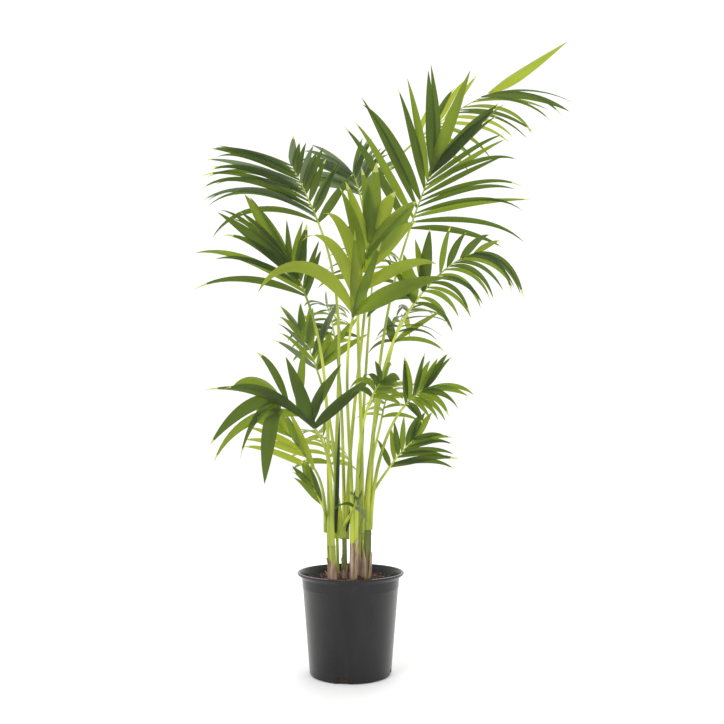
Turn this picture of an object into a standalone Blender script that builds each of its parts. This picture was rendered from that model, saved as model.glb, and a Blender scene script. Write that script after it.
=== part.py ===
"""Potted kentia palm: a clump of seedlings in a round nursery pot.

Metres, +Z up. The origin is the centre of the pot's flat underside, and the side
that the palm is looked at from faces -Y. Each stem is a node, and so is each
frond's stalk and each frond's blade, a thin sheet that follows the outline of the
leaflets from the lowest pair to the furthest tip.
"""
import math

import bpy
from mathutils import Vector

# Pot
POT_HEIGHT = 0.195
RIM_RADIUS = 0.105
MOUTH_RADIUS = 0.100
FOOT_RADIUS = 0.0795
FOOT_ROUND = 0.003
STEP_HEIGHT = 0.166
STEP_RADIUS = 0.0939
BAND_RADIUS = 0.0948
LIP_DROP = 0.010
WALL = 0.0016
FLOOR = 0.003
NOTCH_WIDTH = 0.020
NOTCH_HEIGHT = 0.011
NOTCH_REACH = 0.010
NOTCH_BEARING = -99
NOTCHES = 4
POT_SEGMENTS = 48

# Soil
SOIL_EDGE_HEIGHT = 0.179
SOIL_TOP_HEIGHT = 0.183
SOIL_FLAT_RADIUS = 0.062
GAP = 0.0003

# Leaves
BLADE_THICKNESS = 0.002
STALK_FOOT_RADIUS = 0.0026
STALK_TIP_RADIUS = 0.0016
STALK_POINTS = 9
STALK_CLEARANCE = 0.0015
STALK_SPACING = 0.0046
LEAFLET_STEPS = 4
BLADE_ROWS = 7
LEAFLET_LIFT = 0.18

# Each stem: foot x and y, height of its top, radius at the foot and at the top
STEMS = {
    "stem_1": (-0.041, -0.012, 0.285, 0.0034, 0.0030),
    "stem_2": (-0.033, -0.031, 0.262, 0.0066, 0.0058),
    "stem_3": (-0.025, 0.006, 0.270, 0.0032, 0.0030),
    "stem_4": (-0.012, -0.014, 0.275, 0.0042, 0.0036),
    "stem_5": (0.006, -0.038, 0.268, 0.0064, 0.0056),
    "stem_6": (0.016, 0.026, 0.280, 0.0046, 0.0040),
    "stem_7": (0.031, -0.010, 0.290, 0.0088, 0.0070),
    "stem_8": (-0.012, 0.034, 0.265, 0.0050, 0.0044),
    "stem_9": (0.020, 0.052, 0.262, 0.0048, 0.0042),
}
STEM_LEAN = 0.10

# Each frond: its stem, the blade's foot, the rachis tip, the rachis's bow, the
# compass direction that the blade faces, and for the left and the right side the
# spread in degrees, length and droop of the lowest and of the last leaflet.
FRONDS = {
    "frond_front": ("stem_5", (0.005, -0.110, 0.686), (0.039, -0.160, 0.832), 0.004, -90,
                    (32, 0.26, 1.7, 20, 0.14, 0.2), (42, 0.21, 0.5, 20, 0.12, 0.1)),
    "frond_high_right": ("stem_7", (0.119, -0.020, 0.878), (0.169, -0.060, 1.006), 0.004, -90,
                         (52, 0.28, 0.1, 20, 0.18, 0.1), (66, 0.25, 0.5, 20, 0.19, 0.1)),
    "frond_top": ("stem_6", (0.136, 0.080, 1.094), (0.299, 0.090, 1.205), 0.008, -90,
                  (24, 0.12, 0.1, 8, 0.20, 0.0), (60, 0.17, 0.8, 25, 0.21, 1.0)),
    "frond_high_left": ("stem_3", (-0.069, 0.030, 0.905), (-0.124, 0.030, 1.025), 0.004, -90,
                        (40, 0.27, 1.0, 45, 0.17, 0.3), (55, 0.13, 0.1, 25, 0.07, 0.0)),
    "frond_top_back": ("stem_8", (0.018, 0.160, 1.000), (0.002, 0.180, 1.055), 0.004, -90,
                       (50, 0.17, 0.9, 25, 0.13, 0.3), (50, 0.14, 0.6, 25, 0.11, 0.3)),
    "frond_mid_left": ("stem_2", (-0.087, -0.060, 0.733), (-0.115, -0.090, 0.795), 0.003, -90,
                       (38, 0.27, 0.6, 8, 0.17, 0.1), (38, 0.12, 0.2, 22, 0.10, 0.0)),
    "frond_mid_left_back": ("stem_3", (-0.073, 0.090, 0.601), (-0.110, 0.120, 0.690), 0.004, -70,
                            (32, 0.11, 0.3, 15, 0.08, 0.1), (32, 0.12, 0.2, 15, 0.08, 0.1)),
    "frond_low_left": ("stem_2", (-0.067, -0.120, 0.477), (-0.124, -0.170, 0.530), 0.004, -90,
                       (8, 0.28, 0.7, 45, 0.20, 1.3), (95, 0.15, 0.2, 10, 0.13, 1.0)),
    "frond_low_left_back": ("stem_1", (-0.074, 0.030, 0.394), (-0.150, 0.045, 0.490), 0.004, -90,
                            (30, 0.16, 0.3, 12, 0.06, 0.2), (15, 0.14, 0.2, 10, 0.06, 0.2)),
    "frond_foot_left": ("stem_1", (-0.054, -0.060, 0.330), (-0.078, -0.062, 0.372), 0.001, -90,
                        (15, 0.09, 0.1, 8, 0.05, 0.1), (12, 0.10, 0.1, 10, 0.05, 0.1)),
    "frond_mid_right": ("stem_7", (0.122, -0.110, 0.713), (0.232, -0.140, 0.803), 0.015, -90,
                        (60, 0.12, 0.2, 20, 0.06, 0.4), (55, 0.11, 1.5, 15, 0.15, 1.9)),
    "frond_low_right": ("stem_7", (0.107, -0.060, 0.522), (0.144, -0.090, 0.552), 0.003, -90,
                        (45, 0.10, 0.1, 22, 0.09, 0.3), (70, 0.06, 0.8, 15, 0.15, 0.6)),
    "frond_low_front": ("stem_5", (0.040, -0.140, 0.532), (0.060, -0.170, 0.563), 0.003, -90,
                        (60, 0.07, 2.5, 30, 0.06, 1.5), (45, 0.09, 0.6, 20, 0.08, 0.3)),
    "frond_foot_right": ("stem_6", (0.078, 0.000, 0.400), (0.126, -0.010, 0.455), 0.003, -90,
                         (50, 0.07, 0.1, 20, 0.08, 0.2), (42, 0.15, 0.4, 22, 0.08, 0.3)),
    "frond_foot_front": ("stem_4", (0.007, -0.090, 0.325), (0.015, -0.120, 0.345), 0.002, -90,
                         (60, 0.05, 2.0, 20, 0.04, 1.0), (60, 0.05, 1.0, 20, 0.04, 1.0)),
    "frond_back_high": ("stem_9", (0.045, 0.160, 0.800), (0.060, 0.300, 0.930), 0.020, 90,
                        (60, 0.16, 0.9, 25, 0.15, 0.8), (60, 0.16, 0.9, 25, 0.15, 0.8)),
    "frond_back_left": ("stem_8", (-0.035, 0.150, 0.660), (-0.065, 0.290, 0.770), 0.020, 100,
                        (60, 0.08, 0.9, 25, 0.10, 0.8), (60, 0.13, 0.9, 25, 0.15, 0.8)),
    "frond_back_low_right": ("stem_9", (0.065, 0.130, 0.500), (0.095, 0.250, 0.580), 0.015, 75,
                             (60, 0.11, 0.8, 25, 0.12, 0.8), (60, 0.11, 0.8, 25, 0.12, 0.8)),
    "frond_back_low_left": ("stem_8", (-0.045, 0.130, 0.400), (-0.075, 0.230, 0.470), 0.015, 110,
                            (60, 0.10, 0.8, 25, 0.11, 0.8), (60, 0.10, 0.8, 25, 0.11, 0.8)),
    "frond_back_right": ("stem_9", (0.090, 0.110, 0.660), (0.130, 0.230, 0.750), 0.015, 70,
                         (60, 0.12, 0.8, 25, 0.13, 0.8), (60, 0.09, 0.8, 25, 0.10, 0.8)),
}

# Unopened leaves: their stem, tip and widest radius
SPEARS = {
    "spear_left": ("stem_3", (-0.021, -0.030, 0.510), 0.0045),
    "spear_right": ("stem_4", (0.020, -0.050, 0.395), 0.0040),
}

POT_COLOUR = (0.035, 0.036, 0.038, 1)
SOIL_COLOUR = (0.060, 0.028, 0.015, 1)
STEM_COLOUR = (0.110, 0.120, 0.035, 1)
STALK_COLOUR = (0.230, 0.400, 0.040, 1)
BLADE_COLOUR = (0.090, 0.240, 0.030, 1)


def clear_scene():
    for item in list(bpy.data.objects):
        bpy.data.objects.remove(item, do_unlink=True)


def new_collection(name):
    collection = bpy.data.collections.new(name)
    bpy.context.scene.collection.children.link(collection)
    return collection


def material(name, colour, roughness):
    mat = bpy.data.materials.new(name)
    mat.use_nodes = True
    shader = mat.node_tree.nodes["Principled BSDF"]
    shader.inputs["Base Color"].default_value = colour
    shader.inputs["Roughness"].default_value = roughness
    shader.inputs["Metallic"].default_value = 0
    return mat


def add_mesh(name, verts, edges, faces, collection, mat):
    mesh = bpy.data.meshes.new(name)
    mesh.from_pydata(verts, edges, faces)
    mesh.materials.append(mat)
    item = bpy.data.objects.new(name, mesh)
    collection.objects.link(item)
    return item


def turned(name, profile, collection, mat):
    """A closed profile, outer side top to bottom first, turned about Z."""
    verts = [(radius, 0, height) for radius, height in profile]
    edges = [(i, i + 1) for i in range(len(profile) - 1)]
    item = add_mesh(name, verts, edges, [], collection, mat)
    screw = item.modifiers.new("turn", "SCREW")
    screw.axis = "Z"
    screw.steps = POT_SEGMENTS
    screw.render_steps = POT_SEGMENTS
    screw.use_merge_vertices = True
    screw.merge_threshold = 0.0001
    screw.use_smooth_shade = True
    return item


def build_pot(parts, cutters):
    lip_top = POT_HEIGHT
    lip_foot = POT_HEIGHT - LIP_DROP
    profile = [
        (MOUTH_RADIUS, lip_top),
        (RIM_RADIUS, lip_top - 0.0005),
        (RIM_RADIUS, lip_top - 0.003),
        (BAND_RADIUS + 0.0015, lip_foot),
        (BAND_RADIUS, STEP_HEIGHT),
        (STEP_RADIUS, STEP_HEIGHT - 0.001),
        (FOOT_RADIUS + FOOT_ROUND / 2, FOOT_ROUND),
        (FOOT_RADIUS, 0),
        (0, 0),
        (0, FLOOR),
        (FOOT_RADIUS - WALL, FLOOR),
        (STEP_RADIUS - WALL, STEP_HEIGHT - 0.001),
        (BAND_RADIUS - WALL, STEP_HEIGHT),
        (BAND_RADIUS - 0.0001, lip_foot),
        (MOUTH_RADIUS, lip_top),
    ]
    pot = turned("pot", profile, parts, material("pot plastic", POT_COLOUR, 0.35))
    for i in range(NOTCHES):
        angle = math.tau * i / NOTCHES + math.radians(NOTCH_BEARING)
        centre = Vector((math.cos(angle), math.sin(angle), 0)) * FOOT_RADIUS
        bpy.ops.mesh.primitive_cube_add(size=1, location=centre, rotation=(0, 0, angle))
        cutter = bpy.context.object
        cutter.name = "drain_cutter_%d" % (i + 1)
        cutter.scale = (NOTCH_REACH, NOTCH_WIDTH, 2 * NOTCH_HEIGHT)
        for owner in cutter.users_collection:
            owner.objects.unlink(cutter)
        cutters.objects.link(cutter)
        cutter.hide_render = True
        cutter.display_type = "WIRE"
        cut = pot.modifiers.new("drain %d" % (i + 1), "BOOLEAN")
        cut.object = cutter
        cut.operation = "DIFFERENCE"
        cut.solver = "EXACT"


def build_soil(parts):
    foot = FLOOR + GAP
    profile = [
        (0, SOIL_TOP_HEIGHT),
        (SOIL_FLAT_RADIUS, SOIL_TOP_HEIGHT),
        (BAND_RADIUS - WALL - 3 * GAP, SOIL_EDGE_HEIGHT),
        (BAND_RADIUS - WALL - 3 * GAP, STEP_HEIGHT + 0.001),
        (STEP_RADIUS - WALL - 3 * GAP, STEP_HEIGHT - 0.002),
        (FOOT_RADIUS - WALL - 2 * GAP, foot),
        (0, foot),
    ]
    turned("soil", profile, parts, material("peat soil", SOIL_COLOUR, 0.95))


def smooth_tube(name, points, radii, collection, mat):
    """A tapering tube with filled ends along a run of points."""
    curve = bpy.data.curves.new(name, "CURVE")
    curve.dimensions = "3D"
    curve.bevel_depth = 1
    curve.bevel_resolution = 1
    curve.use_fill_caps = True
    spline = curve.splines.new("POLY")
    spline.points.add(len(points) - 1)
    for point, where, radius in zip(spline.points, points, radii):
        point.co = (*where, 1)
        point.radius = radius
    curve.materials.append(mat)
    item = bpy.data.objects.new(name, curve)
    collection.objects.link(item)
    return item


def bezier(start, first, second, end, share):
    rest = 1 - share
    return (start * rest ** 3 + first * 3 * rest ** 2 * share
            + second * 3 * rest * share ** 2 + end * share ** 3)


def stem_ends(name):
    x, y, top, _, _ = STEMS[name]
    foot = Vector((x, y, SOIL_TOP_HEIGHT + GAP))
    rise = top - foot.z
    head = foot + Vector((x * STEM_LEAN, y * STEM_LEAN, 0)) * rise / 0.1 + Vector((0, 0, rise))
    return foot, head


def build_stem(name, parts, mat):
    foot, head = stem_ends(name)
    _, _, _, wide, narrow = STEMS[name]
    steps = 3
    points = [foot.lerp(head, i / steps) for i in range(steps + 1)]
    radii = [wide + (narrow - wide) * i / steps for i in range(steps + 1)]
    smooth_tube(name, points, radii, parts, mat)


def rachis(frond, share):
    """Point on a blade's midrib, from its foot at 0 to its tip at 1."""
    _, foot, tip, bow, _, _, _ = FRONDS[frond]
    foot = Vector(foot)
    tip = Vector(tip)
    return foot.lerp(tip, share) + Vector((0, 0, 4 * bow * share * (1 - share)))


def rachis_way(frond, share):
    step = 0.01
    return (rachis(frond, share + step) - rachis(frond, share - step)).normalized()


def facing(frond, share):
    """Normal of the blade's upper side, square to the midrib."""
    compass = math.radians(FRONDS[frond][4])
    hint = Vector((math.cos(compass), math.sin(compass), 0.5))
    way = rachis_way(frond, share)
    return (hint - way * hint.dot(way)).normalized()


def leaflet_line(frond, share, side, steps):
    """Points along a leaflet at a share of the midrib; side is -1 left, 1 right."""
    low_spread, low_length, low_droop, top_spread, top_length, top_droop = \
        FRONDS[frond][5 if side < 0 else 6]
    spread = math.radians(low_spread + (top_spread - low_spread) * share)
    length = low_length + (top_length - low_length) * share
    droop = low_droop + (top_droop - low_droop) * share
    way = rachis_way(frond, share)
    face = facing(frond, share)
    across = way.cross(face) * side
    heading = (way * math.cos(spread) + across * math.sin(spread) + face * LEAFLET_LIFT).normalized()
    spot = rachis(frond, share)
    points = [spot]
    for i in range(steps):
        spot = spot + heading * length / steps
        points.append(spot)
        heading = (heading + Vector((0, 0, -droop / steps))).normalized()
    return points


def blade_row(frond, share):
    left = leaflet_line(frond, share, -1, LEAFLET_STEPS)
    right = leaflet_line(frond, share, 1, LEAFLET_STEPS)
    return left[:0:-1] + right


def build_blade(frond, parts, mat):
    """A sheet lofted through the leaflets' own lines, given its thickness."""
    verts = []
    for i in range(BLADE_ROWS):
        verts += blade_row(frond, i / (BLADE_ROWS - 1))
    width = 2 * LEAFLET_STEPS + 1
    faces = []
    for i in range(BLADE_ROWS - 1):
        for j in range(width - 1):
            corner = i * width + j
            faces.append((corner, corner + 1, corner + width + 1, corner + width))
    blade = add_mesh(frond, verts, [], faces, parts, mat)
    solid = blade.modifiers.new("thickness", "SOLIDIFY")
    solid.thickness = BLADE_THICKNESS
    solid.offset = 0


def build_stalk(frond, start, parts, mat):
    """One tapering limb from the stem's head to just short of the blade's foot."""
    end = rachis(frond, 0)
    way = rachis_way(frond, 0)
    end = end - way * STALK_CLEARANCE
    rise = end.z - start.z
    outward = Vector((end.x - start.x, end.y - start.y, 0))
    first = start + Vector((0, 0, rise * 0.45)) + outward * 0.12
    second = end - way * rise * 0.30
    points = [bezier(start, first, second, end, i / (STALK_POINTS - 1)) for i in range(STALK_POINTS)]
    shrink = STALK_TIP_RADIUS - STALK_FOOT_RADIUS
    radii = [STALK_FOOT_RADIUS + shrink * i / (STALK_POINTS - 1) for i in range(STALK_POINTS)]
    smooth_tube(frond.replace("frond", "stalk"), points, radii, parts, mat)


def limb_ends(stem):
    """Where each limb on a stem's head is bound for: blade feet and spear tips."""
    ends = {name: Vector(row[1]) for name, row in FRONDS.items() if row[0] == stem}
    ends.update({name: Vector(row[1]) for name, row in SPEARS.items() if row[0] == stem})
    return ends


def limb_starts(stem):
    """Places round a stem's head where its limbs begin, in the order they lean."""
    _, head = stem_ends(stem)
    head.z += STALK_CLEARANCE
    ends = limb_ends(stem)
    if len(ends) == 1:
        return {name: head for name in ends}
    mean = sum((end - head for end in ends.values()), Vector())
    middle = math.atan2(mean.y, mean.x)
    side = Vector((math.sin(middle), -math.cos(middle), 0))
    order = sorted(ends, key=lambda name: -side.dot((ends[name] - head).normalized()))
    starts = {}
    for i, name in enumerate(order):
        angle = middle + math.radians(90) * (i - (len(order) - 1) / 2)
        out = Vector((math.cos(angle), math.sin(angle), 0)) * STALK_SPACING
        starts[name] = head + out
    return starts


def build_spear(name, start, parts, mat):
    """An unopened leaf: a slim pointed limb, widest a third of the way up."""
    _, tip, widest = SPEARS[name]
    steps = 6
    points = [start.lerp(Vector(tip), i / steps) for i in range(steps + 1)]
    shares = [0.55, 0.9, 1.0, 0.85, 0.6, 0.35, 0.1]
    smooth_tube(name, points, [widest * share for share in shares], parts, mat)


def build_plant(parts):
    stem_mat = material("stem sheath", STEM_COLOUR, 0.7)
    stalk_mat = material("green stalk", STALK_COLOUR, 0.45)
    blade_mat = material("palm leaf", BLADE_COLOUR, 0.5)
    for stem in STEMS:
        build_stem(stem, parts, stem_mat)
        for name, start in limb_starts(stem).items():
            if name in SPEARS:
                build_spear(name, start, parts, blade_mat)
            else:
                build_stalk(name, start, parts, stalk_mat)
                build_blade(name, parts, blade_mat)


def build():
    clear_scene()
    parts = new_collection("potted kentia palm")
    cutters = new_collection("cutters")
    build_pot(parts, cutters)
    build_soil(parts)
    build_plant(parts)


build()
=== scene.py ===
"""Looks of the potted kentia palm: leaflets, stalks, sheaths, soil and nursery pot.

Metres, +Z up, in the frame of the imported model. Each frond is grown by one rule from
its own row of sizes: a midrib from foot to tip, and pairs of leaflets along it that
spread, shorten and droop. The rows repeat the sizes that the solids were made from.
"""
import math
import random

import bpy
from mathutils import Euler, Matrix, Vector, noise


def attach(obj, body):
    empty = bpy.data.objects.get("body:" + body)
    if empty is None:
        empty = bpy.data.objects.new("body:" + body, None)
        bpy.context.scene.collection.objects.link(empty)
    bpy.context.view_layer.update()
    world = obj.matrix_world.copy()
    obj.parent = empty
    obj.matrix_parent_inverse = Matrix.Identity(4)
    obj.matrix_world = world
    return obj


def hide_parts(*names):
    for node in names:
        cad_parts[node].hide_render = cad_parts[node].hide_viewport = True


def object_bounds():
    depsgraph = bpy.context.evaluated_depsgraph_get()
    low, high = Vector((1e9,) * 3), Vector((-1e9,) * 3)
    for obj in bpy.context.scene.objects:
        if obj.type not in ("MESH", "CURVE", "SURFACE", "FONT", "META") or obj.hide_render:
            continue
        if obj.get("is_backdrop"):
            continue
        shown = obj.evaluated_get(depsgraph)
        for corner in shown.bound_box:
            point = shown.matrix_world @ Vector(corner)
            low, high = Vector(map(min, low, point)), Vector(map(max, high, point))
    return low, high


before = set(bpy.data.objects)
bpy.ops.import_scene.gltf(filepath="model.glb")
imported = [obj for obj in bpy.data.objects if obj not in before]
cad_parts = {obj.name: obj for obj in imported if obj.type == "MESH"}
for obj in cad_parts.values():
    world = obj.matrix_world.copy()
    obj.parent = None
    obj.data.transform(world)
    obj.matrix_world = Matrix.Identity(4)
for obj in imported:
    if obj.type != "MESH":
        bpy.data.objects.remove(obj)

CAD_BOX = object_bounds()

# Camera
EYE = (0.0224, -1.70, 0.4665)
TILT_UP = math.radians(4.83)
LENS = 42.04
SENSOR = 36

# Studio: strength of the white surroundings, and for each soft light its place, what
# it looks at, its width and height, and its power
SKY_STRENGTH = 1.08
LIGHTS = {
    "key light": ((-1.4, -2.2, 2.2), (0, 0, 0.6), (1.2, 1.6), 20),
    "fill light": ((1.9, -1.6, 1.3), (0, 0, 0.6), (1.0, 1.6), 7),
    "back light": ((0.3, 2.4, 1.8), (0, 0, 0.7), (2.4, 1.8), 30),
}

# Pot
POT_HEIGHT = 0.195
RIM_RADIUS = 0.105
MOUTH_RADIUS = 0.100
FOOT_RADIUS = 0.0795
STEP_HEIGHT = 0.166
STEP_RADIUS = 0.0939
BAND_RADIUS = 0.0948
LIP_DROP = 0.010
WALL = 0.0016
FLOOR = 0.003
NOTCH_WIDTH = 0.020
NOTCH_HEIGHT = 0.011
NOTCH_REACH = 0.010
NOTCH_BEARING = -99
NOTCHES = 4
ROUND = 96

# Soil
SOIL_TOP_HEIGHT = 0.183
SOIL_EDGE_HEIGHT = 0.179
SOIL_RADIUS = 0.0928
SOIL_RINGS = 30
SOIL_ROUGHNESS = 0.0022
SOIL_LUMPS = 60
SOIL_DROP = 0.0005
SOIL_GAP = 0.001
CHIPS = 1500
CHIP_SIZE = (0.0008, 0.0026)
CHIP_LENGTH = (1.0, 2.6)
CHIP_FLATNESS = (0.35, 0.9)
CHIP_CORNER = (0.6, 1.1)
CHIP_TILT = 0.5
CHIP_FIELD = 0.975
CHIP_KINDS = (0, 0, 0, 1, 1, 2)

# Leaflets: their shape
LEAFLET_STEPS = 16
LEAFLET_LIFT = 0.18
ACROSS = (-1.0, -0.55, 0.0, 0.55, 1.0)
FOOT_WIDTH = 0.26
WIDEST_AT = 0.34
POINT_POWER = 1.9
FOLD_EASE = 0.55
MIDRIB_RISE = 0.06
STRIP_SCALE = 40

# Leaflets: how far chance moves them. Spread is in degrees. Length, droop and width are
# shares of the rule's own. A tip turns pale at one of PALE_FROM, past 1 for never.
PLACE_SHAKE = 0.3
SPREAD_SHAKE = 6
LENGTH_SHARES = (0.82, 1.02)
DROOP_SHARES = (0.8, 1.2)
WIDTH_SHARES = (0.75, 1.15)
HANG_RANGE = (0, 0.9)
SWAY_RANGE = (-0.25, 0.25)
FOLD_RANGE = (0.25, 0.65)
TWIST_RANGE = (-0.6, 0.6)
PALE_FROM = (0.82, 0.88, 0.94, 2.0)

# Leaflets: small steps off the blade, so that neighbours do not lie in one plane
LIFT_STEP = 0.0006
LIFT_STEPS = 4
LOWEST_LIFT = -0.0009
MARKED_LIFT = 0.0016

# Each stem: foot x and y, height of its top, radius at the foot and at the top
STEMS = {
    "stem_1": (-0.041, -0.012, 0.285, 0.0034, 0.0030),
    "stem_2": (-0.033, -0.031, 0.262, 0.0066, 0.0058),
    "stem_3": (-0.025, 0.006, 0.270, 0.0032, 0.0030),
    "stem_4": (-0.012, -0.014, 0.275, 0.0042, 0.0036),
    "stem_5": (0.006, -0.038, 0.268, 0.0064, 0.0056),
    "stem_6": (0.016, 0.026, 0.280, 0.0046, 0.0040),
    "stem_7": (0.031, -0.010, 0.290, 0.0088, 0.0070),
    "stem_8": (-0.012, 0.034, 0.265, 0.0050, 0.0044),
    "stem_9": (0.020, 0.052, 0.262, 0.0048, 0.0042),
}
# A stem leans out by this share of its foot's place for each LEAN_HEIGHT that it rises
STEM_LEAN = 0.10
LEAN_HEIGHT = 0.1

# Stalks and midribs: a stalk's flare fades out over one part in STALK_FLARE_PART
STALK_SPACING = 0.0046
STALK_FOOT_RADIUS = 0.0040
STALK_TIP_RADIUS = 0.0022
STALK_FLARE = 0.0014
STALK_FLARE_PART = 6
STALK_SINK = 0.012
STALK_STEPS = 24
STALK_UPRIGHT = 0.45
STALK_LEAN = 0.12
STALK_ARRIVAL = 0.30
RIB_END_RADIUS = 0.0006
RIB_STEPS = 10

# Stems: leaf-base rings, a flare at the foot and a narrower neck
STEM_STEPS = 26
STEM_SINK = 0.004
STEM_FLARE = 0.18
STEM_FLARE_PART = 6
RING_EVERY = 6
RING_AT = 3
RING_RISE = 0.05
NECK_FROM = 0.85
NECK_LOSS = 0.35

# Dry sheaths: strips that stand round a stem, every third one peeling off
SHEATH_STRIPS = 7
SHEATH_ROWS = 8
SHEATH_REACH = (0.4, 1.0)
SHEATH_HALF_WIDTH = (20, 34)
SHEATH_WOBBLE = 0.12
SHEATH_FIT = 1.13
SHEATH_CLEARANCE = 0.0006
SHEATH_NARROWING = 0.75
SHEATH_THICKNESS = 0.0005
PEELING = 0.006
LYING = 0.0015

# Unopened leaves
SPEAR_STEPS = 12
SPEAR_SWELL_STEPS = 4
SPEAR_POWER = 2.2
SPEAR_TIP_RADIUS = 0.0002

# Each frond: its stem, the blade's foot, the rachis tip, the rachis's bow, the
# compass direction that the blade faces, and for the left and the right side the
# spread in degrees, length and droop of the lowest and of the last leaflet.
FRONDS = {
    "frond_front": ("stem_5", (0.005, -0.110, 0.686), (0.039, -0.160, 0.832), 0.004, -90,
                    (32, 0.26, 1.7, 20, 0.14, 0.2), (42, 0.21, 0.5, 20, 0.12, 0.1)),
    "frond_high_right": ("stem_7", (0.119, -0.020, 0.878), (0.169, -0.060, 1.006), 0.004, -90,
                         (52, 0.28, 0.1, 20, 0.18, 0.1), (66, 0.25, 0.5, 20, 0.19, 0.1)),
    "frond_top": ("stem_6", (0.136, 0.080, 1.094), (0.299, 0.090, 1.205), 0.008, -90,
                  (24, 0.12, 0.1, 8, 0.20, 0.0), (60, 0.17, 0.8, 25, 0.21, 1.0)),
    "frond_high_left": ("stem_3", (-0.069, 0.030, 0.905), (-0.124, 0.030, 1.025), 0.004, -90,
                        (40, 0.27, 1.0, 45, 0.17, 0.3), (55, 0.13, 0.1, 25, 0.07, 0.0)),
    "frond_top_back": ("stem_8", (0.018, 0.160, 1.000), (0.002, 0.180, 1.055), 0.004, -90,
                       (50, 0.17, 0.9, 25, 0.13, 0.3), (50, 0.14, 0.6, 25, 0.11, 0.3)),
    "frond_mid_left": ("stem_2", (-0.087, -0.060, 0.733), (-0.115, -0.090, 0.795), 0.003, -90,
                       (38, 0.27, 0.6, 8, 0.17, 0.1), (38, 0.12, 0.2, 22, 0.10, 0.0)),
    "frond_mid_left_back": ("stem_3", (-0.073, 0.090, 0.601), (-0.110, 0.120, 0.690), 0.004, -70,
                            (32, 0.11, 0.3, 15, 0.08, 0.1), (32, 0.12, 0.2, 15, 0.08, 0.1)),
    "frond_low_left": ("stem_2", (-0.067, -0.120, 0.477), (-0.124, -0.170, 0.530), 0.004, -90,
                       (8, 0.28, 0.7, 45, 0.20, 1.3), (95, 0.15, 0.2, 10, 0.13, 1.0)),
    "frond_low_left_back": ("stem_1", (-0.074, 0.030, 0.394), (-0.150, 0.045, 0.490), 0.004, -90,
                            (30, 0.16, 0.3, 12, 0.06, 0.2), (15, 0.14, 0.2, 10, 0.06, 0.2)),
    "frond_foot_left": ("stem_1", (-0.054, -0.060, 0.330), (-0.078, -0.062, 0.372), 0.001, -90,
                        (15, 0.09, 0.1, 8, 0.05, 0.1), (12, 0.10, 0.1, 10, 0.05, 0.1)),
    "frond_mid_right": ("stem_7", (0.122, -0.110, 0.713), (0.232, -0.140, 0.803), 0.015, -90,
                        (60, 0.12, 0.2, 20, 0.06, 0.4), (55, 0.11, 1.5, 15, 0.15, 1.9)),
    "frond_low_right": ("stem_7", (0.107, -0.060, 0.522), (0.144, -0.090, 0.552), 0.003, -90,
                        (45, 0.10, 0.1, 22, 0.09, 0.3), (70, 0.06, 0.8, 15, 0.15, 0.6)),
    "frond_low_front": ("stem_5", (0.040, -0.140, 0.532), (0.060, -0.170, 0.563), 0.003, -90,
                        (60, 0.07, 2.5, 30, 0.06, 1.5), (45, 0.09, 0.6, 20, 0.08, 0.3)),
    "frond_foot_right": ("stem_6", (0.078, 0.000, 0.400), (0.126, -0.010, 0.455), 0.003, -90,
                         (50, 0.07, 0.1, 20, 0.08, 0.2), (42, 0.15, 0.4, 22, 0.08, 0.3)),
    "frond_foot_front": ("stem_4", (0.007, -0.090, 0.325), (0.015, -0.120, 0.345), 0.002, -90,
                         (60, 0.05, 2.0, 20, 0.04, 1.0), (60, 0.05, 1.0, 20, 0.04, 1.0)),
    "frond_back_high": ("stem_9", (0.045, 0.160, 0.800), (0.060, 0.300, 0.930), 0.020, 90,
                        (60, 0.16, 0.9, 25, 0.15, 0.8), (60, 0.16, 0.9, 25, 0.15, 0.8)),
    "frond_back_left": ("stem_8", (-0.035, 0.150, 0.660), (-0.065, 0.290, 0.770), 0.020, 100,
                        (60, 0.08, 0.9, 25, 0.10, 0.8), (60, 0.13, 0.9, 25, 0.15, 0.8)),
    "frond_back_low_right": ("stem_9", (0.065, 0.130, 0.500), (0.095, 0.250, 0.580), 0.015, 75,
                             (60, 0.11, 0.8, 25, 0.12, 0.8), (60, 0.11, 0.8, 25, 0.12, 0.8)),
    "frond_back_low_left": ("stem_8", (-0.045, 0.130, 0.400), (-0.075, 0.230, 0.470), 0.015, 110,
                            (60, 0.10, 0.8, 25, 0.11, 0.8), (60, 0.10, 0.8, 25, 0.11, 0.8)),
    "frond_back_right": ("stem_9", (0.090, 0.110, 0.660), (0.130, 0.230, 0.750), 0.015, 70,
                         (60, 0.12, 0.8, 25, 0.13, 0.8), (60, 0.09, 0.8, 25, 0.10, 0.8)),
}

# Unopened leaves: their stem, tip and widest radius
SPEARS = {
    "spear_left": ("stem_3", (-0.021, -0.030, 0.510), 0.0045),
    "spear_right": ("stem_4", (0.020, -0.050, 0.395), 0.0040),
}

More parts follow.
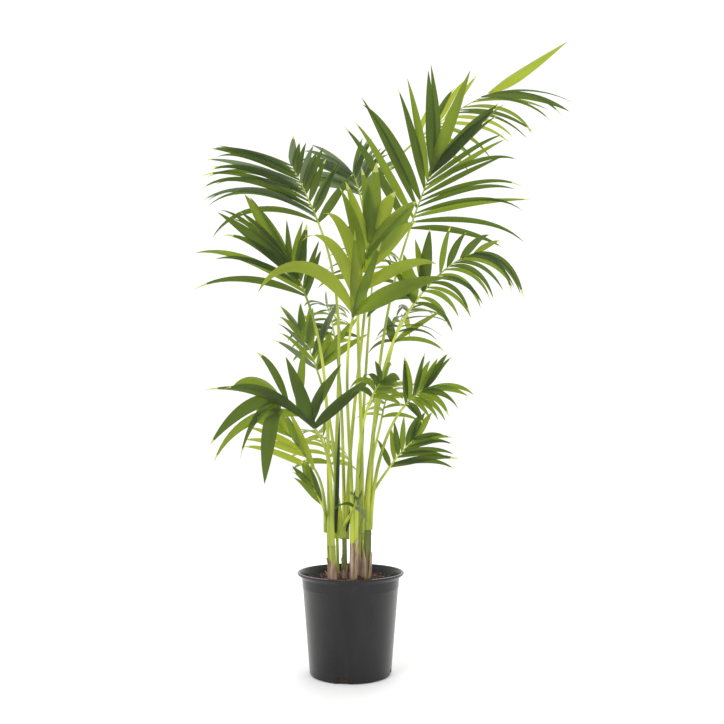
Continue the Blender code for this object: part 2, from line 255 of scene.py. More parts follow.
# Each frond's dress: leaflets on the left and their width, the same on the right, and
# the colours that its leaflets are dealt from
DRESS = {
    "frond_front": (6, 0.028, 5, 0.032, ("bright", "bright", "fresh")),
    "frond_high_right": (8, 0.023, 14, 0.012, ("deep", "deep", "deep", "fresh")),
    "frond_top": (9, 0.015, 13, 0.010, ("fresh", "bright", "deep")),
    "frond_high_left": (16, 0.013, 10, 0.017, ("deep", "deep", "grey")),
    "frond_top_back": (11, 0.015, 10, 0.015, ("grey", "grey", "deep")),
    "frond_mid_left": (9, 0.014, 6, 0.019, ("fresh", "deep", "deep")),
    "frond_mid_left_back": (6, 0.018, 6, 0.017, ("grey", "fresh")),
    "frond_low_left": (6, 0.018, 5, 0.021, ("deep", "deep", "fresh")),
    "frond_low_left_back": (6, 0.015, 6, 0.015, ("bright", "bright", "fresh")),
    "frond_foot_left": (3, 0.014, 3, 0.013, ("deep", "fresh")),
    "frond_mid_right": (6, 0.016, 15, 0.010, ("deep", "fresh", "deep")),
    "frond_low_right": (7, 0.016, 9, 0.012, ("deep", "deep", "fresh")),
    "frond_low_front": (5, 0.020, 5, 0.018, ("deep", "fresh")),
    "frond_foot_right": (7, 0.016, 8, 0.013, ("deep", "deep", "fresh")),
    "frond_foot_front": (3, 0.018, 3, 0.016, ("deep", "grey")),
    "frond_back_high": (10, 0.018, 10, 0.018, ("bright", "fresh", "deep")),
    "frond_back_left": (9, 0.017, 9, 0.018, ("bright", "fresh", "deep")),
    "frond_back_low_right": (8, 0.016, 8, 0.016, ("bright", "fresh")),
    "frond_back_low_left": (8, 0.016, 8, 0.016, ("bright", "fresh")),
    "frond_back_right": (8, 0.016, 8, 0.016, ("bright", "fresh", "deep")),
}

# Stretches of a midrib that bear no common leaflets on one side
BARE = {("frond_top", -1): (0.5, 1.1), ("frond_low_left", -1): (0.6, 0.9)}

# Each stem's dress: how far up its dry sheath stands, and which skin it has
STEM_DRESS = {
    "stem_1": (0.25, "bright"),
    "stem_2": (0.55, "bright"),
    "stem_3": (0.15, "bright"),
    "stem_4": (0.30, "olive"),
    "stem_5": (1.00, "bright"),
    "stem_6": (0.90, "bright"),
    "stem_7": (0.80, "olive"),
    "stem_8": (0.50, "olive"),
    "stem_9": (0.60, "bright"),
}

# Leaf colours: the blade's own and the light that comes through it
LEAF_COLOURS = {
    "deep": ((0.034, 0.066, 0.006), (0.140, 0.210, 0.008)),
    "fresh": ((0.080, 0.135, 0.010), (0.300, 0.390, 0.015)),
    "bright": ((0.145, 0.205, 0.020), (0.500, 0.570, 0.030)),
    "grey": ((0.075, 0.105, 0.045), (0.200, 0.270, 0.110)),
    "tip": ((0.38, 0.42, 0.10), (0.70, 0.75, 0.20)),
}

# Skin of a stem: its darker and its lighter tone
STEM_COLOURS = {
    "olive": ((0.060, 0.085, 0.010), (0.180, 0.220, 0.028)),
    "bright": ((0.150, 0.220, 0.015), (0.470, 0.530, 0.048)),
}

# Leaflets set one by one, those that stand out in the photo and some that fill the
# clump's middle: place along the midrib, side, spread, length, droop and width
MARKED_LEAFLETS = {
    "frond_top": ((1.0, -1, 3, 0.205, 0.0, 0.034), (0.9, 1, 30, 0.20, 0.8, 0.018)),
    "frond_low_left": ((1.0, -1, 30, 0.21, 0.9, 0.024), (1.0, -1, 75, 0.17, 1.6, 0.036),
                       (0.0, 1, 14, 0.16, 0.1, 0.030), (0.1, 1, 58, 0.085, 0.1, 0.026),
                       (0.0, 1, 91, 0.155, 0.2, 0.024)),
    "frond_high_right": ((0.75, 1, 2, 0.215, 0.0, 0.026), (0.8, 1, 24, 0.19, 0.1, 0.024)),
    "frond_mid_right": ((0.05, -1, 100, 0.12, 2.0, 0.022), (0.0, -1, 47, 0.095, 0.1, 0.030),
                        (0.15, -1, 32, 0.12, 0.1, 0.024)),
    "frond_mid_left": ((1.0, -1, 8, 0.17, 0.1, 0.032), (0.5, -1, 22, 0.22, 0.3, 0.024)),
    "frond_front": ((0.9, -1, 6, 0.15, 0.0, 0.036), (0.7, 1, 28, 0.15, 0.1, 0.042),
                    (0.0, -1, 8, 0.17, 0.1, 0.020), (0.0, 1, 10, 0.16, 0.1, 0.020)),
    "frond_mid_left_back": ((0.0, 1, 48, 0.14, 0.1, 0.020), (0.0, 1, 62, 0.15, 0.3, 0.018),
                            (0.3, 1, 40, 0.15, 0.1, 0.018)),
    "frond_back_left": ((0.0, -1, 30, 0.15, 0.1, 0.020), (0.0, 1, 25, 0.16, 0.1, 0.020)),
    "frond_back_right": ((0.0, -1, 30, 0.16, 0.1, 0.020), (0.0, 1, 20, 0.15, 0.1, 0.020)),
}


# Materials

def new_material(name, colour, roughness):
    """A material of one shader, handed back with its nodes and links."""
    mat = bpy.data.materials.new(name)
    mat.use_nodes = True
    nodes = mat.node_tree.nodes
    shader = nodes["Principled BSDF"]
    shader.inputs["Base Color"].default_value = (*colour, 1)
    shader.inputs["Roughness"].default_value = roughness
    return mat, nodes, mat.node_tree.links, shader


def two_tone(nodes, links, shader, dark, light, scale, detail=3.0, stretch=(1, 1, 1)):
    """Drifts the base colour between two tones by noise in the object's own place."""
    place = nodes.new("ShaderNodeTexCoord")
    turn = nodes.new("ShaderNodeMapping")
    turn.inputs["Scale"].default_value = stretch
    cloud = nodes.new("ShaderNodeTexNoise")
    cloud.inputs["Scale"].default_value = scale
    cloud.inputs["Detail"].default_value = detail
    ramp = nodes.new("ShaderNodeValToRGB")
    ramp.color_ramp.elements[0].position = 0.32
    ramp.color_ramp.elements[0].color = (*dark, 1)
    ramp.color_ramp.elements[1].position = 0.68
    ramp.color_ramp.elements[1].color = (*light, 1)
    links.new(place.outputs["Object"], turn.inputs["Vector"])
    links.new(turn.outputs["Vector"], cloud.inputs["Vector"])
    links.new(cloud.outputs["Fac"], ramp.inputs["Fac"])
    links.new(ramp.outputs["Color"], shader.inputs["Base Color"])
    return cloud


def add_bump(nodes, links, shader, height, strength, distance):
    bump = nodes.new("ShaderNodeBump")
    bump.inputs["Strength"].default_value = strength
    bump.inputs["Distance"].default_value = distance
    links.new(height, bump.inputs["Height"])
    links.new(bump.outputs["Normal"], shader.inputs["Normal"])
    return bump


def leaf_material(name, colour, glow, roughness=0.40, through=0.42):
    """A leaf of fine ribs along its length, lit from the front and from behind."""
    mat, nodes, links, shader = new_material(name, colour, roughness)
    shader.inputs["Specular IOR Level"].default_value = 0.45
    dark = [c * 0.78 for c in colour]
    light = [c * 1.22 for c in colour]
    two_tone(nodes, links, shader, dark, light, 14.0)
    strip = nodes.new("ShaderNodeUVMap")
    strip.uv_map = "strip"
    ribs = nodes.new("ShaderNodeTexWave")
    ribs.wave_type = "BANDS"
    ribs.bands_direction = "X"
    ribs.inputs["Scale"].default_value = 4.5
    ribs.inputs["Distortion"].default_value = 0.4
    links.new(strip.outputs["UV"], ribs.inputs["Vector"])
    bump = add_bump(nodes, links, shader, ribs.outputs["Fac"], 0.35, 0.0006)
    behind = nodes.new("ShaderNodeBsdfTranslucent")
    behind.inputs["Color"].default_value = (*glow, 1)
    links.new(bump.outputs["Normal"], behind.inputs["Normal"])
    both = nodes.new("ShaderNodeMixShader")
    both.inputs["Fac"].default_value = through
    links.new(shader.outputs["BSDF"], both.inputs[1])
    links.new(behind.outputs["BSDF"], both.inputs[2])
    links.new(both.outputs["Shader"], nodes["Material Output"].inputs["Surface"])
    return mat


def stalk_material():
    mat, nodes, links, shader = new_material("smooth stalk", (0.30, 0.48, 0.05), 0.38)
    cloud = two_tone(nodes, links, shader, (0.160, 0.230, 0.015), (0.500, 0.560, 0.050), 26.0,
                     stretch=(1, 1, 0.25))
    add_bump(nodes, links, shader, cloud.outputs["Fac"], 0.15, 0.0006)
    return mat


def stem_material(name, dark, light):
    mat, nodes, links, shader = new_material(name, light, 0.45)
    cloud = two_tone(nodes, links, shader, dark, light, 60.0, stretch=(1, 1, 0.12))
    add_bump(nodes, links, shader, cloud.outputs["Fac"], 0.3, 0.001)
    return mat


def fibre_material():
    mat, nodes, links, shader = new_material("dry sheath", (0.42, 0.27, 0.19), 0.75)
    cloud = two_tone(nodes, links, shader, (0.20, 0.105, 0.06), (0.62, 0.44, 0.34), 260.0,
                     detail=5.0, stretch=(1, 1, 0.06))
    add_bump(nodes, links, shader, cloud.outputs["Fac"], 0.6, 0.0008)
    return mat


def pot_material():
    mat, nodes, links, shader = new_material("charcoal pot plastic", (0.011, 0.011, 0.011), 0.26)
    two_tone(nodes, links, shader, (0.009, 0.009, 0.009), (0.015, 0.015, 0.015), 30.0,
             stretch=(1, 1, 0.3))
    place = nodes.new("ShaderNodeTexCoord")
    grain = nodes.new("ShaderNodeTexNoise")
    grain.inputs["Scale"].default_value = 900.0
    grain.inputs["Detail"].default_value = 2.0
    links.new(place.outputs["Object"], grain.inputs["Vector"])
    add_bump(nodes, links, shader, grain.outputs["Fac"], 0.12, 0.0003)
    shader.inputs["Specular IOR Level"].default_value = 0.32
    return mat


def soil_material(name, dark, light):
    mat, nodes, links, shader = new_material(name, light, 0.92)
    cloud = two_tone(nodes, links, shader, dark, light, 320.0, detail=6.0)
    add_bump(nodes, links, shader, cloud.outputs["Fac"], 0.8, 0.002)
    return mat


# Making and placing pieces

def deselect():
    for item in bpy.context.selected_objects:
        item.select_set(False)


def settle(item, name, slot, *nodes):
    """Names a finished piece, puts its place in its mesh and rides it on the plant."""
    item.name = name
    item.data.name = name
    item.data.transform(item.matrix_world)
    item.matrix_world.identity()
    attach(item, "root")
    if nodes:
        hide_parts(*nodes)
    return item


def joined_mesh(name, verts, faces, mats, kinds, uvs=None):
    """One mesh from arrays, with a material kind for each face and its own strip map."""
    mesh = bpy.data.meshes.new(name)
    mesh.from_pydata(verts, [], faces)
    for mat in mats:
        mesh.materials.append(mat)
    mesh.polygons.foreach_set("material_index", kinds)
    mesh.polygons.foreach_set("use_smooth", [True] * len(faces))
    if uvs:
        layer = mesh.uv_layers.new(name="strip")
        for loop in mesh.loops:
            layer.data[loop.index].uv = uvs[loop.vertex_index]
    mesh.update()
    item = bpy.data.objects.new(name, mesh)
    bpy.context.scene.collection.objects.link(item)
    return item


# Growth, by the same rule as the solids

def rachis(frond, share):
    """Point on a blade's midrib, from its foot at 0 to its tip at 1."""
    _, foot, tip, bow, _, _, _ = FRONDS[frond]
    return Vector(foot).lerp(Vector(tip), share) + Vector((0, 0, 4 * bow * share * (1 - share)))


def rachis_way(frond, share):
    """Direction of the midrib at a share of its length."""
    step = 0.01
    return (rachis(frond, share + step) - rachis(frond, share - step)).normalized()


def facing(frond, share):
    """Normal of the blade's upper side, square to the midrib."""
    compass = math.radians(FRONDS[frond][4])
    hint = Vector((math.cos(compass), math.sin(compass), 0.5))
    way = rachis_way(frond, share)
    return (hint - way * hint.dot(way)).normalized()


def leaflet_line(frond, share, side, spread, length, droop, hang=0.0, sway=0.0):
    """Points along a leaflet from a share of the midrib; side is -1 left, 1 right.

    Droop bends it down evenly, hang bends its outer end, and sway bends it sideways.
    """
    spread = math.radians(spread)
    way = rachis_way(frond, share)
    face = facing(frond, share)
    across = way.cross(face) * side
    heading = way * math.cos(spread) + across * math.sin(spread) + face * LEAFLET_LIFT
    heading.normalize()
    spot = rachis(frond, share)
    points = [spot]
    for i in range(LEAFLET_STEPS):
        spot = spot + heading * length / LEAFLET_STEPS
        points.append(spot)
        bend = droop + 4 * hang * (i / LEAFLET_STEPS) ** 3
        heading += (way * sway - Vector((0, 0, bend))) / LEAFLET_STEPS
        heading.normalize()
    return points


def width_share(share):
    """Outline of a leaflet: narrow at the foot, widest at a third, drawn out to a point."""
    swell = math.sin(min(share / WIDEST_AT, 1.0) * math.pi / 2)
    past = max(0.0, (share - WIDEST_AT) / (1 - WIDEST_AT))
    return (FOOT_WIDTH + (1 - FOOT_WIDTH) * swell) * (1 - past ** POINT_POWER)


def add_leaflet(store, points, face, width, fold, twist, tone, pale, pale_from):
    """A leaflet of two ribbed halves folded along its midrib, added to the arrays."""
    verts, faces, kinds, uvs = store
    base = len(verts)
    count = len(points) - 1
    way = (points[1] - points[0]).normalized()
    normal = (face - way * face.dot(way)).normalized()
    run = 0.0
    for i, spot in enumerate(points):
        ahead = points[min(i + 1, count)] - points[max(i - 1, 0)]
        way = ahead.normalized()
        normal = (normal - way * normal.dot(way)).normalized()
        share = i / count
        turn = twist * share
        across = way.cross(normal)
        up = normal * math.cos(turn) + across * math.sin(turn)
        out = across * math.cos(turn) - normal * math.sin(turn)
        half = width / 2 * width_share(share)
        bend = fold * (1 - FOLD_EASE * share)
        for x in ACROSS:
            drop = -abs(x) * half * math.sin(bend) + (1 - x * x) * half * MIDRIB_RISE
            verts.append(spot + out * (x * half * math.cos(bend)) + up * drop)
            uvs.append((0.5 + x * half * STRIP_SCALE, run * STRIP_SCALE))
        if i < count:
            run += (points[i + 1] - spot).length
    columns = len(ACROSS)
    for i in range(count):
        for j in range(columns - 1):
            a = base + i * columns + j
            faces.append((a, a + 1, a + columns + 1, a + columns))
            kinds.append(pale if i / count >= pale_from else tone)


def leaflets_of(frond, rng):
    """Line, width and place of each leaflet of a frond, the marked ones last."""
    for side in (-1, 1):
        low_spread, low_length, low_droop, top_spread, top_length, top_droop = \
            FRONDS[frond][5 if side < 0 else 6]
        count, width = DRESS[frond][0:2] if side < 0 else DRESS[frond][2:4]
        bare_from, bare_to = BARE.get((frond, side), (2, 2))
        for i in range(count):
            share = i / (count - 1)
            if bare_from <= share <= bare_to:
                continue
            place = share + rng.uniform(-PLACE_SHAKE, PLACE_SHAKE) / count
            place = min(1.0, max(0.0, place))
            spread = low_spread + (top_spread - low_spread) * share
            spread += rng.uniform(-SPREAD_SHAKE, SPREAD_SHAKE)
            length = low_length + (top_length - low_length) * share
            length *= rng.uniform(*LENGTH_SHARES)
            droop = low_droop + (top_droop - low_droop) * share
            droop *= rng.uniform(*DROOP_SHARES)
            line = leaflet_line(frond, place, side, spread, length, droop,
                                rng.uniform(*HANG_RANGE), rng.uniform(*SWAY_RANGE))
            lift = facing(frond, place) * (LIFT_STEP * (i % LIFT_STEPS) + LOWEST_LIFT)
            yield [spot + lift for spot in line], width * rng.uniform(*WIDTH_SHARES), place
    for i, row in enumerate(MARKED_LEAFLETS.get(frond, ())):
        place, side, spread, length, droop, width = row
        lift = facing(frond, place) * (MARKED_LIFT + LIFT_STEP * i)
        line = leaflet_line(frond, place, side, spread, length, droop)
        yield [spot + lift for spot in line], width, place


def build_leaflets(frond, leaves):
    """A frond's leaflets as one piece, each leaflet dealt one of the frond's colours."""
    palette = DRESS[frond][4]
    tones = sorted(set(palette))
    rng = random.Random(frond)
    store = ([], [], [], [])
    for line, width, place in leaflets_of(frond, rng):
        tone = tones.index(rng.choice(palette))
        pale_from = rng.choice(PALE_FROM)
        add_leaflet(store, line, facing(frond, place), width, rng.uniform(*FOLD_RANGE),
                    rng.uniform(*TWIST_RANGE), tone, len(tones), pale_from)
    verts, faces, kinds, uvs = store
    name = frond.replace("frond", "leaflets")
    mats = [leaves[tone] for tone in tones] + [leaves["tip"]]
    item = joined_mesh(name, verts, faces, mats, kinds, uvs)
    return settle(item, name, "leaf", frond)


def stem_ends(name):
    """A stem's foot in the soil and its head, where its stalks begin."""
    x, y, top, _, _ = STEMS[name]
    foot = Vector((x, y, SOIL_TOP_HEIGHT))
    rise = top - foot.z
    lean = Vector((x * STEM_LEAN, y * STEM_LEAN, 0)) * rise / LEAN_HEIGHT
    return foot, foot + lean + Vector((0, 0, rise))


def limb_starts(stem):
    """Places round a stem's head where its limbs begin, in the order they lean."""
    _, head = stem_ends(stem)
    ends = {name: Vector(row[1]) for name, row in FRONDS.items() if row[0] == stem}
    ends.update({name: Vector(row[1]) for name, row in SPEARS.items() if row[0] == stem})
    if len(ends) == 1:
        return {name: head for name in ends}
    mean = sum((end - head for end in ends.values()), Vector())
    middle = math.atan2(mean.y, mean.x)
    side = Vector((math.sin(middle), -math.cos(middle), 0))
    order = sorted(ends, key=lambda name: -side.dot((ends[name] - head).normalized()))
    starts = {}
    for i, name in enumerate(order):
        angle = middle + math.radians(90) * (i - (len(order) - 1) / 2)
        starts[name] = head + Vector((math.cos(angle), math.sin(angle), 0)) * STALK_SPACING
    return starts


def bezier(start, first, second, end, share):
    rest = 1 - share
    return (start * rest ** 3 + first * 3 * rest ** 2 * share
            + second * 3 * rest * share ** 2 + end * share ** 3)


def drawn_tube(name, points, radii, mat, sides=10):
    """A curve drawn through the points, given a round bevel and made a mesh."""
    deselect()
    bpy.ops.curve.primitive_bezier_curve_add(location=(0, 0, 0))
    item = bpy.context.object
    curve = item.data
    curve.splines.clear()
    spline = curve.splines.new("POLY")
    spline.points.add(len(points) - 1)
    for point, spot, radius in zip(spline.points, points, radii):
        point.co = (*spot, 1)
        point.radius = radius
    curve.bevel_depth = 1
    curve.bevel_resolution = (sides - 4) // 2
    curve.use_fill_caps = True
    curve.resolution_u = 1
    curve.materials.append(mat)
    bpy.ops.object.convert(target="MESH")
    item = bpy.context.object
    item.name = name
    deselect()
    item.select_set(True)
    bpy.ops.object.shade_smooth_by_angle(angle=math.radians(50))
    deselect()
    return item


def build_rib(frond, start, mat):
    """Stalk and midrib as one limb, from the stem's head to the blade's tip."""
    foot = rachis(frond, 0)
    way = rachis_way(frond, 0)
    rise = foot.z - start.z
    outward = Vector((foot.x - start.x, foot.y - start.y, 0))
    first = start + Vector((0, 0, rise * STALK_UPRIGHT)) + outward * STALK_LEAN
    second = foot - way * rise * STALK_ARRIVAL
    points, radii = [], []
    for i in range(STALK_STEPS + 1):
        share = i / STALK_STEPS
        points.append(bezier(start, first, second, foot, share))
        radii.append(STALK_FOOT_RADIUS + (STALK_TIP_RADIUS - STALK_FOOT_RADIUS) * share
                     + STALK_FLARE * max(0, 1 - STALK_FLARE_PART * share))
    for i in range(1, RIB_STEPS + 1):
        share = i / RIB_STEPS
        points.append(rachis(frond, share))
        radii.append(STALK_TIP_RADIUS + (RIB_END_RADIUS - STALK_TIP_RADIUS) * share)
    points[0] = points[0] - Vector((0, 0, STALK_SINK))
    item = drawn_tube("rib", points, radii, mat)
    return settle(item, frond.replace("frond", "stalk_and_rib"), "stalk",
                  frond.replace("frond", "stalk"))


def build_spear(name, start, mat):
    """An unopened leaf, which swells from its foot and is drawn out to a point."""
    _, tip, widest = SPEARS[name]
    points, radii = [], []
    for i in range(SPEAR_STEPS + 1):
        share = i / SPEAR_STEPS
        points.append(start.lerp(Vector(tip), share))
        swell = 0.5 + 0.5 * math.sin(min(1, i / SPEAR_SWELL_STEPS) * math.pi / 2)
        radii.append(widest * swell * (1 - share ** SPEAR_POWER) + SPEAR_TIP_RADIUS)
    item = drawn_tube(name, points, radii, mat)
    return settle(item, name + "_leaf", "leaf", name)


def build_stem(name, green, dry):
    """A stem with its leaf-base rings, and the dry sheath that wraps its lower part."""
    foot, head = stem_ends(name)
    _, _, _, wide, narrow = STEMS[name]
    rng = random.Random(name)
    points, radii = [], []
    for i in range(STEM_STEPS + 1):
        share = i / STEM_STEPS
        points.append(foot.lerp(head, share))
        flare = STEM_FLARE * wide * max(0.0, 1 - share * STEM_FLARE_PART)
        ring = RING_RISE * wide if i % RING_EVERY == RING_AT else 0.0
        neck = 1 - NECK_LOSS * max(0.0, share - NECK_FROM) / (1 - NECK_FROM)
        radii.append((wide + (narrow - wide) * share) * neck + flare + ring)
    points[0] = points[0] - Vector((0, 0, STEM_SINK))
    stem = drawn_tube("stem", points, radii, green, sides=16)
    settle(stem, name + "_skin", "sheath", name)
    build_sheath(name, foot, head, wide, rng, dry)


def build_sheath(name, foot, head, wide, rng, mat):
    """Ragged strips of dry leaf base that stand round a stem."""
    verts, faces, kinds, uvs = [], [], [], []
    for k in range(SHEATH_STRIPS):
        angle = math.tau * k / SHEATH_STRIPS + rng.uniform(-0.3, 0.3)
        reach = rng.uniform(*SHEATH_REACH) * STEM_DRESS[name][0] * (head - foot).length
        peel = rng.uniform(0.0, PEELING if k % 3 == 0 else LYING)
        half = math.radians(rng.uniform(*SHEATH_HALF_WIDTH))
        base = len(verts)
        for i in range(SHEATH_ROWS + 1):
            share = i / SHEATH_ROWS
            spot = foot + (head - foot).normalized() * reach * share
            narrow = half * (1 - SHEATH_NARROWING * share ** 3)
            radius = wide * SHEATH_FIT + SHEATH_CLEARANCE + peel * share ** 2
            for x in (-1, 0, 1):
                turn = angle + narrow * x + SHEATH_WOBBLE * math.sin(share * 5 + k)
                verts.append(spot + Vector((math.cos(turn), math.sin(turn), 0)) * radius)
                uvs.append((x * 0.5, share))
        for i in range(SHEATH_ROWS):
            for j in range(2):
                a = base + i * 3 + j
                faces.append((a, a + 1, a + 4, a + 3))
                kinds.append(0)
    item = joined_mesh(name + "_sheath", verts, faces, (mat,), kinds, uvs)
    bpy.context.view_layer.objects.active = item
    solid = item.modifiers.new("thickness", "SOLIDIFY")
    solid.thickness = SHEATH_THICKNESS
    bpy.ops.object.modifier_apply(modifier=solid.name)
    settle(item, name + "_sheath", "sheath")


# Pot and soil

def ring_up(height, radius, was):
    """Extrudes the selected ring to a new height and radius."""
    bpy.ops.mesh.extrude_region_move(TRANSFORM_OT_translate={"value": (0, 0, height - was[0])})
    factor = radius / was[1]
    bpy.ops.transform.resize(value=(factor, factor, 1), center_override=(0, 0, height))
    return height, radius


def build_pot(mat):
    deselect()
    bpy.ops.mesh.primitive_circle_add(vertices=ROUND, radius=FOOT_RADIUS - 0.003,
                                      fill_type="NGON", location=(0, 0, 0))
    pot = bpy.context.object
    bpy.ops.object.mode_set(mode="EDIT")
    bpy.ops.mesh.select_all(action="SELECT")
    lip_foot = POT_HEIGHT - LIP_DROP
    rings = (
        (0.0008, FOOT_RADIUS - 0.0008), (0.003, FOOT_RADIUS + 0.0003),
        (STEP_HEIGHT - 0.0012, STEP_RADIUS), (STEP_HEIGHT - 0.0004, BAND_RADIUS - 0.0002),
        (STEP_HEIGHT + 0.0004, BAND_RADIUS), (lip_foot - 0.002, BAND_RADIUS + 0.0012),
        (lip_foot, BAND_RADIUS + 0.0018), (POT_HEIGHT - 0.0045, RIM_RADIUS - 0.0008),
        (POT_HEIGHT - 0.0032, RIM_RADIUS), (POT_HEIGHT - 0.0010, RIM_RADIUS),
        (POT_HEIGHT, RIM_RADIUS - 0.0010), (POT_HEIGHT, MOUTH_RADIUS + 0.0010),
        (POT_HEIGHT - 0.0010, MOUTH_RADIUS), (lip_foot, BAND_RADIUS - 0.0001),
        (STEP_HEIGHT, BAND_RADIUS - WALL), (STEP_HEIGHT - 0.002, STEP_RADIUS - WALL),
        (FLOOR, FOOT_RADIUS - WALL),
    )
    was = (0.0, FOOT_RADIUS - 0.003)
    for height, radius in rings:
        was = ring_up(height, radius, was)
    bpy.ops.mesh.edge_face_add()
    bpy.ops.mesh.select_all(action="SELECT")
    bpy.ops.mesh.normals_make_consistent(inside=False)
    bpy.ops.object.mode_set(mode="OBJECT")
    for i in range(NOTCHES):
        cut_notch(pot, math.tau * i / NOTCHES + math.radians(NOTCH_BEARING))
    pot.data.materials.append(mat)
    deselect()
    pot.select_set(True)
    bpy.context.view_layer.objects.active = pot
    bpy.ops.object.shade_smooth_by_angle(angle=math.radians(38))
    settle(pot, "pot_shell", "pot", "pot")


def cut_notch(pot, angle):
    """Cuts one drain notch through the foot of the wall."""
    deselect()
    centre = Vector((math.cos(angle), math.sin(angle), 0)) * FOOT_RADIUS
    bpy.ops.mesh.primitive_cube_add(size=1, location=centre, rotation=(0, 0, angle))
    cutter = bpy.context.object
    cutter.scale = (NOTCH_REACH, NOTCH_WIDTH, 2 * NOTCH_HEIGHT)
    bpy.context.view_layer.update()
    cut = pot.modifiers.new("notch", "BOOLEAN")
    cut.object = cutter
    cut.operation = "DIFFERENCE"
    bpy.context.view_layer.objects.active = pot
    bpy.ops.object.modifier_apply(modifier=cut.name)
    bpy.data.objects.remove(cutter, do_unlink=True)


def soil_height(x, y):
    """Height of the uneven soil, which sinks a little towards the pot's wall."""
    out = min(1.0, math.hypot(x, y) / SOIL_RADIUS)
    level = SOIL_TOP_HEIGHT + (SOIL_EDGE_HEIGHT - SOIL_TOP_HEIGHT) * out ** 3
    lump = noise.noise(Vector((x * SOIL_LUMPS, y * SOIL_LUMPS, 0)))
    return level + SOIL_ROUGHNESS * lump - SOIL_DROP


def build_soil(bed, chips):
    deselect()
    foot = FLOOR + 0.0003
    foot_radius = FOOT_RADIUS - WALL - SOIL_GAP
    bpy.ops.mesh.primitive_circle_add(vertices=ROUND, radius=SOIL_RADIUS, fill_type="NGON",
                                      location=(0, 0, foot))
    soil = bpy.context.object
    bpy.ops.object.mode_set(mode="EDIT")
    bpy.ops.mesh.select_all(action="SELECT")
    bpy.ops.transform.resize(value=(foot_radius / SOIL_RADIUS,) * 2 + (1,))
    was = ring_up(STEP_HEIGHT - 0.003, STEP_RADIUS - WALL - SOIL_GAP, (foot, foot_radius))
    was = ring_up(SOIL_EDGE_HEIGHT, SOIL_RADIUS, was)
    for k in range(1, SOIL_RINGS):
        was = ring_up(SOIL_EDGE_HEIGHT, SOIL_RADIUS * (1 - k / SOIL_RINGS), was)
    bpy.ops.mesh.edge_face_add()
    bpy.ops.mesh.select_all(action="SELECT")
    bpy.ops.mesh.normals_make_consistent(inside=False)
    bpy.ops.object.mode_set(mode="OBJECT")
    for vert in soil.data.vertices:
        if vert.co.z + soil.location.z > SOIL_EDGE_HEIGHT - 0.001:
            vert.co.z = soil_height(vert.co.x, vert.co.y) - soil.location.z
    soil.data.materials.append(bed)
    settle(soil, "soil_bed", "soil", "soil")
    build_chips(chips)


def build_chips(mats):
    """Broken bits of bark and peat scattered on the soil, as one joined mesh."""
    rng = random.Random(7)
    box = [(x, y, z) for x in (-1, 1) for y in (-1, 1) for z in (-1, 1)]
    sides = ((0, 1, 3, 2), (4, 6, 7, 5), (0, 4, 5, 1), (2, 3, 7, 6), (0, 2, 6, 4), (1, 5, 7, 3))
    verts, faces, kinds = [], [], []
    for _ in range(CHIPS):
        out = SOIL_RADIUS * CHIP_FIELD * math.sqrt(rng.random())
        bearing = rng.uniform(0, math.tau)
        x, y = out * math.cos(bearing), out * math.sin(bearing)
        size = rng.uniform(*CHIP_SIZE)
        long, flat = size * rng.uniform(*CHIP_LENGTH), size * rng.uniform(*CHIP_FLATNESS)
        tilt = (rng.gauss(0, CHIP_TILT), rng.gauss(0, CHIP_TILT))
        turn = Euler((*tilt, rng.uniform(0, math.tau)))
        spot = Vector((x, y, soil_height(x, y) + flat * 0.5))
        base = len(verts)
        for corner in box:
            point = Vector([way * reach * 0.5 * rng.uniform(*CHIP_CORNER)
                            for way, reach in zip(corner, (long, size, flat))])
            point.rotate(turn)
            verts.append(spot + point)
        faces += [tuple(base + i for i in side) for side in sides]
        kinds += [rng.choice(CHIP_KINDS)] * len(sides)
    item = joined_mesh("bark_chips", verts, faces, mats, kinds)
    item.data.polygons.foreach_set("use_smooth", [False] * len(faces))
    settle(item, "bark_chips", "soil")


# Stage

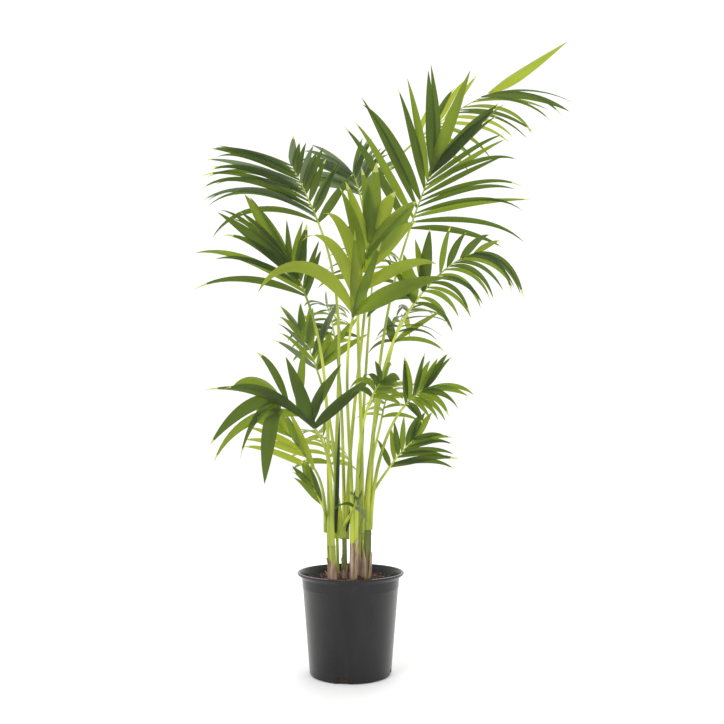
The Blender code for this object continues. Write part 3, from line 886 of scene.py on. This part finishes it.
def build_stage():
    deselect()
    bpy.ops.mesh.primitive_plane_add(size=30, location=(0, 0, -0.0005))
    floor = bpy.context.object
    floor.name = "studio_floor"
    mat, _, _, _ = new_material("studio white", (0.97, 0.97, 0.97), 0.9)
    floor.data.materials.append(mat)
    floor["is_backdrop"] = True


def soft_light(name, spot, target, size, power):
    deselect()
    bpy.ops.object.light_add(type="AREA", location=spot)
    lamp = bpy.context.object
    lamp.name = name
    lamp.data.shape = "RECTANGLE"
    lamp.data.size, lamp.data.size_y = size
    lamp.data.energy = power
    lamp.rotation_euler = (Vector(target) - Vector(spot)).to_track_quat("-Z", "Y").to_euler()


def build_lights():
    world = bpy.context.scene.world or bpy.data.worlds.new("studio")
    bpy.context.scene.world = world
    world.use_nodes = True
    sky = world.node_tree.nodes["Background"]
    sky.inputs["Color"].default_value = (1, 1, 1, 1)
    sky.inputs["Strength"].default_value = SKY_STRENGTH
    for name, row in LIGHTS.items():
        soft_light(name, *row)
    view = bpy.context.scene.view_settings
    view.view_transform = "Standard"
    view.look = "None"


def build_camera():
    data = bpy.data.cameras.new("photo camera")
    data.lens = LENS
    data.sensor_width = SENSOR
    camera = bpy.data.objects.new("photo camera", data)
    bpy.context.scene.collection.objects.link(camera)
    camera.location = EYE
    camera.rotation_euler = (math.pi / 2 + TILT_UP, 0, 0)
    bpy.context.scene.camera = camera


def build_plant():
    leaves = {name: leaf_material("leaf " + name, *pair) for name, pair in LEAF_COLOURS.items()}
    stalk = stalk_material()
    skins = {name: stem_material(name + " stem", *pair) for name, pair in STEM_COLOURS.items()}
    dry = fibre_material()
    for frond in FRONDS:
        build_leaflets(frond, leaves)
    for stem in STEMS:
        build_stem(stem, skins[STEM_DRESS[stem][1]], dry)
        for name, start in limb_starts(stem).items():
            if name in SPEARS:
                build_spear(name, start, leaves["deep"])
            else:
                build_rib(name, start, stalk)


def write_sizes():
    """The solids' box and the looks' box, side by side."""
    boxes = {"cad": CAD_BOX, "visual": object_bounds()}
    plain = {name: [[float(v) for v in corner] for corner in box] for name, box in boxes.items()}


build_camera()
build_lights()
build_stage()
build_plant()
build_pot(pot_material())
build_soil(soil_material("peat", (0.018, 0.008, 0.005), (0.075, 0.033, 0.018)),
           (soil_material("dark bark", (0.020, 0.009, 0.006), (0.070, 0.028, 0.015)),
            soil_material("red bark", (0.070, 0.022, 0.012), (0.190, 0.075, 0.040)),
            soil_material("pale bark", (0.160, 0.090, 0.055), (0.340, 0.210, 0.130))))
write_sizes()
